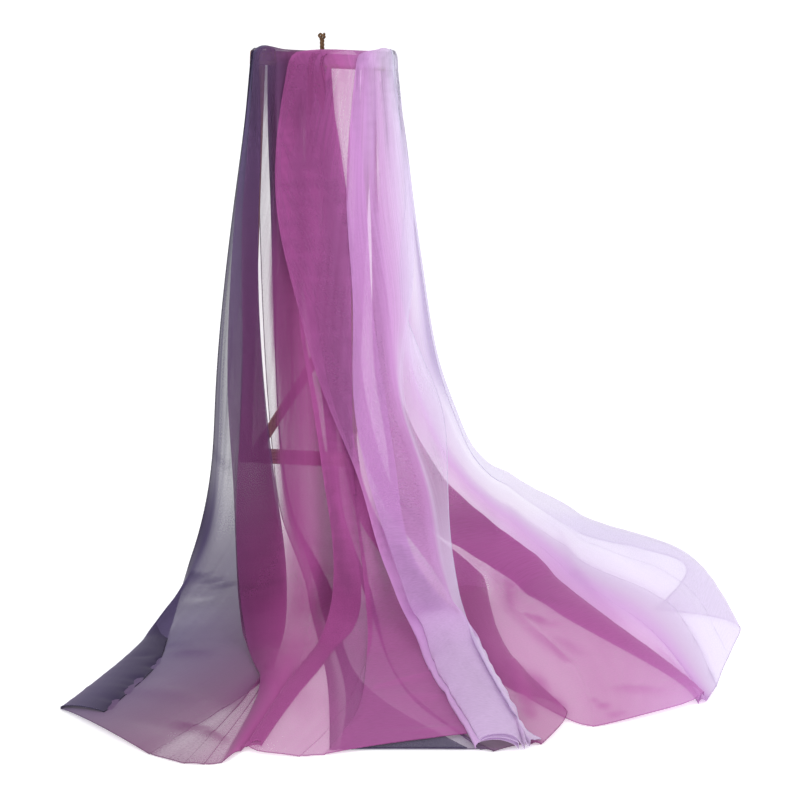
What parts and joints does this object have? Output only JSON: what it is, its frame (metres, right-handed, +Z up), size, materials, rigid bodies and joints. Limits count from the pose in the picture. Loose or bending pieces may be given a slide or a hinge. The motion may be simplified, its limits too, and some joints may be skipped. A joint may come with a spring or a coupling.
{
  "type": "georgette scarf on hanging wooden frame",
  "caption": "Long sheer ombre georgette scarf, folded over the bar of a small wooden frame that hangs from a twine, with both ends trailing on the surface below.",
  "frame": {"origin": "top of the twine's end knot, where the whole thing hangs", "axes": "+Z up, +X to the right as the front is seen, +Y away from the front"},
  "size_m": [0.681, 0.6862, 0.612],
  "materials": {
    "georgette_front": "sheer, crepe-twisted, faintly glossy",
    "georgette_back": "sheer, crepe-twisted, faintly glossy",
    "georgette_turn": "sheer, many layers deep",
    "plain_wood": "plain, lightly sanded",
    "jute_twine": "twisted, matte"
  },
  "bodies": {
    "root": {"scarf_front_fall": "georgette_front", "scarf_front_train": "georgette_front", "scarf_bar_turn": "georgette_turn", "scarf_back_fall": "georgette_back", "scarf_back_train": "georgette_back", "frame_top_bar": "plain_wood", "frame_left_upright": "plain_wood", "frame_right_upright": "plain_wood", "frame_bottom_bar": "plain_wood", "frame_mid_rail": "plain_wood", "frame_brace": "plain_wood", "hanging_twine": "jute_twine"}
  },
  "joints": []
}
